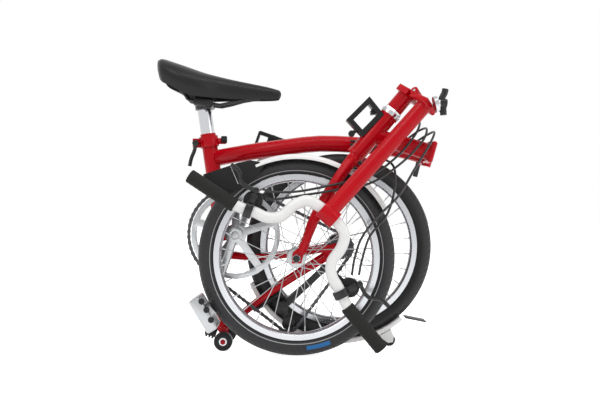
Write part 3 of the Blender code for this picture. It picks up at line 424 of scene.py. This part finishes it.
def mesh_from(shape, name, uv=None):
    """A mesh from a surface in millimetres, with outward faces and an optional UV per corner."""
    corners, faces, sizes = shape
    mesh = bpy.data.meshes.new(name)
    mesh.vertices.add(len(corners))
    mesh.vertices.foreach_set("co", (corners * MM).astype(np.float32).ravel())
    mesh.loops.add(len(faces))
    mesh.loops.foreach_set("vertex_index", faces.astype(np.int32))
    mesh.polygons.add(len(sizes))
    mesh.polygons.foreach_set("loop_start", (np.cumsum(sizes) - sizes).astype(np.int32))
    mesh.update(calc_edges=True)
    if uv is not None:
        layer = mesh.uv_layers.new(name="own")
        layer.data.foreach_set("uv", uv[faces].astype(np.float32).ravel())
    bm = bmesh.new()
    bm.from_mesh(mesh)
    bmesh.ops.recalc_face_normals(bm, faces=bm.faces)
    bm.to_mesh(mesh)
    bm.free()
    return mesh


def piece(name, shape, body, mat, replaces=(), sharp=34, uv=None):
    """One surface as a finished piece."""
    return finished(mesh_from(shape, name, uv), name, body, mat, replaces, sharp)


def detail(name, parts, body, mat, replaces=(), bevel=0.0, sharp=34):
    """Several surfaces as one finished piece, with its edges rounded if a width is given."""
    obj = piece(name, gathered(parts), body, mat, replaces, sharp)
    if bevel:
        ease = obj.modifiers.new("ease", 'BEVEL')
        ease.width, ease.segments, ease.limit_method = bevel * MM, 3, 'ANGLE'
    return obj


def smoothed(node, mat, bevel):
    """A copy of a CAD node with merged corners, eased edges and smooth shading."""
    name = node + "_fine"
    bm = bmesh.new()
    bm.from_mesh(bpy.data.objects[node].data)
    bmesh.ops.remove_doubles(bm, verts=bm.verts, dist=0.00002)
    bmesh.ops.dissolve_limit(bm, angle_limit=math.radians(0.8), verts=bm.verts, edges=bm.edges)
    mesh = bpy.data.meshes.new(name)
    bm.to_mesh(mesh)
    bm.free()
    if bevel:
        holder = bpy.data.objects.new(node + "_holder", mesh)
        bpy.context.scene.collection.objects.link(holder)
        ease = holder.modifiers.new("ease", 'BEVEL')
        ease.width, ease.segments, ease.limit_method = bevel * MM, 2, 'ANGLE'
        ease.angle_limit = math.radians(38)
        bpy.context.view_layer.update()
        mesh = bpy.data.meshes.new_from_object(holder.evaluated_get(bpy.context.evaluated_depsgraph_get()))
        bpy.data.objects.remove(holder, do_unlink=True)
        mesh.name = name
    return finished(mesh, name, BODY_OF[node], mat, (node,))


# ---------------------------------------------------------------- wheels
def tyre_surface(label, centre, mat):
    """A tyre: an oval section turned about the axle, with slanted grooves on its shoulders.

    Across the tyre t goes round the section; r is the section's middle radius plus its
    height times cos t, y is its half width times sin t. Where the turn round the wheel plus
    a share of t falls in the first part of a groove's pitch, both are less by its depth."""
    k = np.arange(TREAD_STEPS)[:, None]
    t = np.radians(np.linspace(-TYRE_WRAP, TYRE_WRAP, 31))[None, :]
    slant = (k * GROOVES / TREAD_STEPS + np.abs(t) * 0.9 + np.where(t > 0, 0.5, 0.0)) % 1.0
    cut = (np.abs(t) > 0.28) & (np.abs(t) < 1.25) & (slant < 0.38)
    depth = np.where(cut, GROOVE_DEPTH, 0.0)
    r = TYRE_MID_R + (TYRE_R - TYRE_MID_R - depth) * np.cos(t)
    y = (TYRE_HALF_WIDTH - depth) * np.sin(t)
    edge = np.ones((TREAD_STEPS, 1))
    r = np.hstack([edge * BEAD[0], r, edge * BEAD[0]])
    y = np.hstack([edge * -BEAD[1], y, edge * BEAD[1]])
    uv = np.stack([np.broadcast_to(k / TREAD_STEPS, r.shape), r / TYRE_R], axis=-1).reshape(-1, 2)
    rows = about_axle(r, y, 2 * np.pi * k / TREAD_STEPS, centre)
    piece(label + "_tyre_surface", surface(rows, True), label + "_wheel", mat,
          (label + "_tyre",), 50, uv)


def rim_surface(label, centre):
    """A rim: a box section with rounded corners and a well, turned about the axle."""
    w = RIM_HALF_WIDTH
    half = [(RIM_IN_R, -3.5), (RIM_IN_R + 0.7, -6), (RIM_IN_R + 4.4, -w + 0.6), (RIM_IN_R + 5.4, -w),
            (RIM_OUT_R - 0.6, -w), (RIM_OUT_R, -w + 0.6), (RIM_OUT_R - 0.8, -w + 2.2), (RIM_OUT_R - 6, -w + 3)]
    piece(label + "_rim_surface", lathe(mirrored(half), centre, 200), label + "_wheel", BRIGHT, (), 30)


def spokes_and_hub(label, centre, half, shell_r):
    """Spokes from hub flange to rim, leaning back and forth in pairs, and a turned hub.

    A spoke's outer end is at its share of the turn; its inner end is that angle plus or
    minus the lean, on the flange's circle. Nipples and heads are short thicker rods."""
    flange = half - 4.0
    k = np.arange(SPOKE_COUNT)
    side = np.where(k % 2, 1.0, -1.0)
    outer = 2 * np.pi * (k + 0.5) / SPOKE_COUNT
    inner = outer + np.where(k % 4 < 2, 1.0, -1.0) * SPOKE_LEAN
    a = about_axle(SPOKE_HUB_R, side * flange, inner, centre)
    b = about_axle(RIM_IN_R + 1, side * 2.5, outer, centre)
    out = SIDE * side[:, None] * 2.2
    profile = mirrored([(5.5, -half), (11, -half), (12, -half + 1), (12, -flange - 2), (19.5, -flange - 1.6),
                        (20.5, -flange), (19.5, -flange + 1.2), (shell_r, -flange + 5)], [(shell_r - 1.5, 0)])
    parts = [rods(a, b, 0.95, 8), rods(b + unit(a - b) * 12, b, 1.7, 8), rods(a - out, a + out, 1.9, 8),
             lathe(profile, centre, 64)]
    piece(label + "_spokes", gathered(parts), label + "_wheel", LOOKS["silver"],
          (label + "_rim_and_spokes",), 30)


def rear_cog():
    """A small cog whose edge is a circle plus a cosine wave per tooth, on a turned sleeve."""
    hub = REAR_HUB + SIDE * (CHAIN_Y - WHEEL_Y)
    steps = COG_TEETH * 8
    a = 2 * np.pi * np.arange(steps) / steps
    edge = about_axle(23.4 + 1.2 * np.cos(COG_TEETH * a), np.array([[-1.2], [1.2]]), a, hub)
    sleeve = lathe([(6, -8), (14, -8), (14, 26), (6, 26)], hub, 40)
    piece("rear_cog", gathered([surface(edge, caps=True), sleeve]), "rear_wheel", LOOKS["chain_steel"],
          (), 30)


def wheels():
    """Tyre, rim, spokes and hub of both wheels, and the cog."""
    for label, centre, half, shell_r, mat in (("front", FRONT_HUB, 32.0, 13.0, banded_tyre()),
                                              ("rear", REAR_HUB, 36.0, 20.0, LOOKS["tyre_rubber"])):
        tyre_surface(label, centre, mat)
        rim_surface(label, centre)
        spokes_and_hub(label, centre, half, shell_r)
    rear_cog()


def mudguards():
    """A bent strip with turned-down edges and an even wall, turned about the axle over a part turn."""
    w, t, r = GUARD_HALF_WIDTH, GUARD_WALL, GUARD_R
    inner = mirrored([(r - 9, -w), (r - 5, -w + 0.8), (r - 2.2, -w + 3.5), (r - 0.7, -w + 6.5), (r, -w + 11)])
    outer = mirrored([(r - 9, w + t), (r - 4.4, w + 1.4), (r - 1, w - 1.6), (r + 1.2, w - 5.2), (r + t, w - 10)])
    for label, body, centre, first, last in GUARDS:
        piece(label + "_surface", lathe(inner + outer, centre, 90, first, last - first), body,
              LOOKS["white_paint"], (label,), 40)


# ---------------------------------------------------------------- saddle, bar, chain and cables
def saddle():
    """A saddle shell: a crowned top whose sides hang below the rails, hollow underneath.

    Round the outside t runs over half a turn: y is the half width times a power of cos t,
    z falls from the top to the hem as a power of sin t nears nought. The inside is the
    same with its own width, and rises from the hem to the underside."""
    x, top, low, half, hem = smooth_path(SADDLE, 72).T[..., None]
    t = np.pi * np.arange(31) / 30
    c = np.cos(t)
    drop = 1 - np.abs(np.sin(t)) ** 0.62
    y_out = np.copysign(np.abs(c) ** 0.8, c) * half * (1 - 0.16 * drop ** 3)
    z_out = top - (top - hem) * drop
    t = np.pi * np.arange(14, -1, -1) / 14
    c = np.cos(t)
    y_in = np.copysign(np.abs(c) ** 0.9, c) * np.maximum(half - SADDLE_WALL, 4.0) * 0.82
    z_in = hem + 1 + (low + 2 - hem) * np.abs(np.sin(t)) ** 0.5
    y, z = np.hstack([y_out, y_in]) + WHEEL_Y, np.hstack([z_out, z_in])
    rows = np.stack([np.broadcast_to(x, y.shape), y, z], axis=-1)
    piece("saddle_surface", surface(rows, caps=True), "seatpost", LOOKS["saddle_cover"],
          ("saddle",), 60)


def handlebar():
    """A round tube on a smooth curve through the bar's stations, and two grips whose radius
    ripples by a sine along them and closes at the ends."""
    wide, rise = np.array([(-w, r) for w, r in reversed(BAR_CURVE[1:])] + BAR_CURVE, float).T
    piece("handlebar_surface", tube(smooth_path(bar(wide, rise), 160), BAR_R, 28), "handlepost",
          LOOKS["white_paint"], ("handlebar",), 50)
    for sign, side in ((-1, "left"), (1, "right")):
        start, end = bar(sign * 152, 107.0), bar(sign * 262, 123.5)
        length = float(np.linalg.norm(end - start))
        k = np.arange(1, 30)
        ripples = np.stack([3 + length * k / 30 * 0.93, GRIP_R + 0.15 * np.sin(k * 2.1)], axis=-1)
        stations = np.vstack([[(0, 12.6), (1.2, GRIP_R - 0.6), (3, GRIP_R)], ripples,
                              [(length - 2.6, GRIP_R), (length - 0.6, GRIP_R - 1.4), (length, GRIP_R - 4)]])
        piece(side + "_grip_surface", turned_rod(start, unit(end - start), stations, 32), "handlepost",
              LOOKS["grip_foam"], (side + "_grip",), 50)


def chain():
    """Link plates, rollers and pins at an even pitch round the chain wheels.

    Pins stand at equal lengths along the closed path. A plate's outline is half a circle
    round each of its two pins with a narrower waist between; every second link is wider."""
    path = tangent_path([(*CRANK_AXLE, 103.5, 1), (*REAR_AXLE, 28.6, 1), (-18, 58, 19, 1)], 16)
    loop = np.vstack([path, path[:1]])
    far = np.append(0.0, np.cumsum(np.linalg.norm(np.diff(loop, axis=0), axis=1)))
    count = 2 * round(far[-1] / LINK_PITCH / 2)
    s = far[-1] * np.arange(count) / count
    a = np.stack([np.interp(s, far, axis) for axis in loop.T], axis=-1)
    b = np.roll(a, -1, axis=0)
    ahead = unit(b - a)[:, None]
    out = np.cross(ahead, SIDE)
    t = np.radians(np.linspace(-90, 90, 7))[:, None]
    arc = (ahead * np.cos(t) + out * np.sin(t)) * LINK_R
    a, b = a[:, None], b[:, None]
    waist = (a + b) / 2
    outline = np.concatenate([b + arc, waist + out * LINK_WAIST, a - arc, waist - out * LINK_WAIST], axis=1)
    depth = np.where(np.arange(count) % 2, 2.9, 1.9)[:, None, None]
    y = np.array([[-1.0], [1.0]]) * depth + np.array([-PLATE_HALF, PLATE_HALF])
    plates = outline[:, None, None] + y[..., None, None] * SIDE
    pin = a[:, 0]
    parts = [prisms(plates.reshape(-1, 2, *outline.shape[1:])),
             rods(pin - SIDE * 3.3, pin + SIDE * 3.3, 1.8, 8), rods(pin - SIDE * 1.4, pin + SIDE * 1.4, 3.6, 10)]
    piece("chain_links", gathered(parts), "main_frame", LOOKS["chain_steel"], ("chain",), 30)


def cables():
    """Round tubes on smooth curves through each cable's stations."""
    for name, route in CABLES.items():
        piece(name + "_surface", tube(smooth_path(route, 120), CABLE_R, 14), "main_frame",
              LOOKS["cable_black"], (name,), 60)


# ---------------------------------------------------------------- small parts
def flap():
    """The folded mudguard flap: two side walls and a roof, and its stay."""
    outline = [(-66, 404), (-80, 411), (-97, 414), (-124, 408), (-160, 396), (-196, 384),
               (-191, 362), (-172, 343), (-150, 346), (-105, 358), (-82, 382)]
    top = outline[:6]
    under = [(x + 1.0, z - 3.0) for x, z in reversed(top)]
    detail("flap_shell", [slab(outline, -23.5, -22.0), slab(outline, 22.0, 23.5), slab(top + under, -22.2, 22.2)],
           "fork", LOOKS["black_plastic"], ("front_mudguard_flap",))
    detail("flap_stay", [tube([(-139, -26.5, 403), (-122, -26.5, 364)], 1.0, 8)], "fork", BRIGHT)


def head_fittings():
    """The carrier's frame ahead of the head tube, and the headset's rings."""
    outer = [(105, 500), (154, 549), (185, 510), (140, 463)]
    inner = [(120, 500), (153, 533), (170, 511), (139, 479)]
    detail("carrier_frame", [slab(outer, -17, 17, inner), tube([(128, -17, 478), (116, -17, 470)], 4, 12),
                             tube([(116, -22, 470), (116, -12, 470)], 7, 16)],
           "front_frame", LOOKS["black_plastic"], ("carrier_block",), 1.2)
    rings = ((155, 157, 20.9, 32), (157, 163, 22.2, 32), (163, 169, 21, 6))
    detail("headset_ring", [tube([steer(low, 0, 0), steer(high, 0, 0)], r, sides) for low, high, r, sides in rings],
           "front_frame", BRIGHT)


def post_clamp():
    """The handlepost's clamp: a turned plate and a bent handle on it."""
    low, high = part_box("handlepost_clamp_lever")
    y = (low[1] + high[1]) / 2 / MM
    detail("post_clamp_plate", [tube([(281, y, 524.2), (289, y, 526.2)], 17, 32),
                                tube([(289, y, 526.2), (296, y, 528)], 9, 24)],
           "handlepost", BRIGHT, (), 1.0)
    handle = [(304, y, 557), (302, y, 548), (297, y, 538), (296, y, 529), (299, y, 517), (300, y, 503)]
    detail("post_clamp_handle", [tube(smooth_path(handle, 30), 6.8, 18), tube([(292, y, 528), (307, y, 526.5)], 9.5)],
           "handlepost_clamp", LOOKS["black_metal"], ("handlepost_clamp_lever",), 1.2)


def fork_legs():
    """Two tapering oval legs from the crown to the axle."""
    legs = []
    for side in (-1, 1):
        stations = [steer(40, 0, side * 34), steer(-20, 3, side * 38), steer(-110, 18, side * 41.5),
                    FRONT_HUB + SIDE * side * 45 + UP * 20]
        legs.append(oval_tube(stations, 13.0, 8.6, 0.66))
    detail("fork_legs", legs, "fork", LOOKS["red_paint"], (), 0.0, 60)


def small_parts():
    """Pieces the CAD leaves out or draws as plain blocks."""
    flap()
    head_fittings()
    post_clamp()
    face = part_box("right_pedal")[0][1] / MM
    opening = [(0.3, -0.7), (6.4, -0.7), (6.4, 1.0), (0.3, 1.0)]
    detail("pedal_openings", [lathe(opening, (x, face, z), 24)
                              for x, z in ((-196.2, 120.5), (-185.9, 102.9), (-176.6, 82.2))],
           "right_pedal", LOOKS["black_plastic"])
    fork_legs()
    detail("rear_hub_shell", [lathe([(8, -30), (22, -30), (29, -24), (30, 0), (29, 24), (22, 30), (8, 30)], REAR_HUB, 48)],
           "rear_wheel", LOOKS["black_metal"])
    front_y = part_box("right_roller")[0][1] / MM
    detail("roller_cap", [lathe([(0.3, -1.6), (8.6, -1.6), (9.2, -0.8), (9.2, 1.5), (0.3, 1.5)],
                                (-161, front_y, 20.4), 32)], "rear_frame", BRIGHT)
    detail("seat_clamp_cap", [tube([(-171, WHEEL_Y - 2, 467), (-158, WHEEL_Y - 2, 467)], 8.4, 24)], "main_frame",
           LOOKS["black_plastic"], (), 1.5)
    detail("axle_cap", [tube([(0, -57, TYRE_R), (0, -52, TYRE_R)], 7.5, 24), tube([(0, -60, TYRE_R), (0, -56, TYRE_R)], 4.5)],
           "fork", LOOKS["black_metal"], (), 0.6)


# ---------------------------------------------------------------- light, floor and camera
FLOOR_LIFT = 0.8          # white the floor shows of itself to the rays that see the background
LAMPS = (("key", (-1.3, -1.6, 2.3), (0, 0.05, 0.3), (1.4, 0.9), 13),
         ("strip", (0.5, -0.7, 2.2), (0, 0.05, 0.35), (2.0, 0.3), 9),
         ("side", (2.0, -1.2, 1.0), (0, 0.05, 0.3), (0.5, 1.4), 6))


def background_rays(tree):
    """1 for every ray that shows the background: the largest of camera, glossy and transmission."""
    ray = tree.nodes.new("ShaderNodeLightPath")
    shown = ray.outputs["Is Camera Ray"]
    for kind in ("Is Glossy Ray", "Is Transmission Ray"):
        most = tree.nodes.new("ShaderNodeMath")
        most.operation = 'MAXIMUM'
        tree.links.new(shown, most.inputs[0])
        tree.links.new(ray.outputs[kind], most.inputs[1])
        shown = most.outputs[0]
    return shown


def pale_world():
    """A sky that lights from dark below to pale above, and shows as white."""
    world = bpy.data.worlds.new("pale")
    bpy.context.scene.world = world
    world.use_nodes = True
    tree = world.node_tree
    back = tree.nodes["Background"]
    where = tree.nodes.new("ShaderNodeTexCoord")
    split = tree.nodes.new("ShaderNodeSeparateXYZ")
    tree.links.new(where.outputs["Generated"], split.inputs["Vector"])
    height = tree.nodes.new("ShaderNodeMapRange")
    height.inputs["From Min"].default_value = -1.0
    tree.links.new(split.outputs["Z"], height.inputs["Value"])
    ramp = tree.nodes.new("ShaderNodeValToRGB")
    low, high = ramp.color_ramp.elements
    low.position, low.color = 0.34, (0.03, 0.03, 0.03, 1)
    high.position, high.color = 0.9, (0.95, 0.95, 0.95, 1)
    tree.links.new(height.outputs["Result"], ramp.inputs["Fac"])
    seen = tree.nodes.new("ShaderNodeMix")
    seen.data_type = 'RGBA'
    seen.inputs["B"].default_value = (1.0, 1.0, 1.0, 1.0)
    tree.links.new(ramp.outputs["Color"], seen.inputs["A"])
    tree.links.new(background_rays(tree), seen.inputs["Factor"])
    tree.links.new(seen.outputs["Result"], back.inputs["Color"])
    back.inputs["Strength"].default_value = 1.0


def pale_floor():
    """A wide flat floor that takes the object's shadow."""
    corners = np.array([(-9000, -4000, 0), (9000, -4000, 0), (9000, 9000, 0), (-9000, 9000, 0)], float)
    mat = shader("look_floor", (0.93, 0.93, 0.93), 0.8, grain=5, bump=0.0)
    tree = mat.node_tree
    principled = tree.nodes["Principled BSDF"]
    lift = tree.nodes.new("ShaderNodeMath")
    lift.operation = 'MULTIPLY'
    lift.inputs[1].default_value = FLOOR_LIFT
    tree.links.new(background_rays(tree), lift.inputs[0])
    principled.inputs["Emission Color"].default_value = (1, 1, 1, 1)
    tree.links.new(lift.outputs[0], principled.inputs["Emission Strength"])
    floor = bpy.data.objects.new("floor", mesh_from((corners, np.arange(4), np.array([4])), "floor"))
    floor.data.materials.append(mat)
    bpy.context.scene.collection.objects.link(floor)


def stage():
    """World, floor, three area lamps and the camera."""
    scene = bpy.context.scene
    scene.view_settings.view_transform = 'Standard'
    pale_world()
    pale_floor()
    for name, at, aim, size, power in LAMPS:
        data = bpy.data.lights.new(name, 'AREA')
        data.shape = 'RECTANGLE'
        data.size, data.size_y = size
        data.energy = power
        lamp = bpy.data.objects.new(name, data)
        lamp.location = at
        lamp.rotation_euler = (Vector(aim) - Vector(at)).to_track_quat('-Z', 'Y').to_euler()
        scene.collection.objects.link(lamp)
    lens = bpy.data.cameras.new("view")
    lens.lens, lens.sensor_width = 47.0, 36.0
    eye = bpy.data.objects.new("view", lens)
    eye.location = (0.0074, -1.667, 0.3303)
    eye.rotation_euler = (math.radians(90), 0, 0)
    scene.collection.objects.link(eye)
    scene.camera = eye


wheels()
mudguards()
saddle()
handlebar()
chain()
cables()
small_parts()
for node in NODES:
    if node not in DRAWN:
        smoothed(node, LOOKS[SLOT_OF[node]], 0.0 if node == "main_frame" else 0.5)
stage()
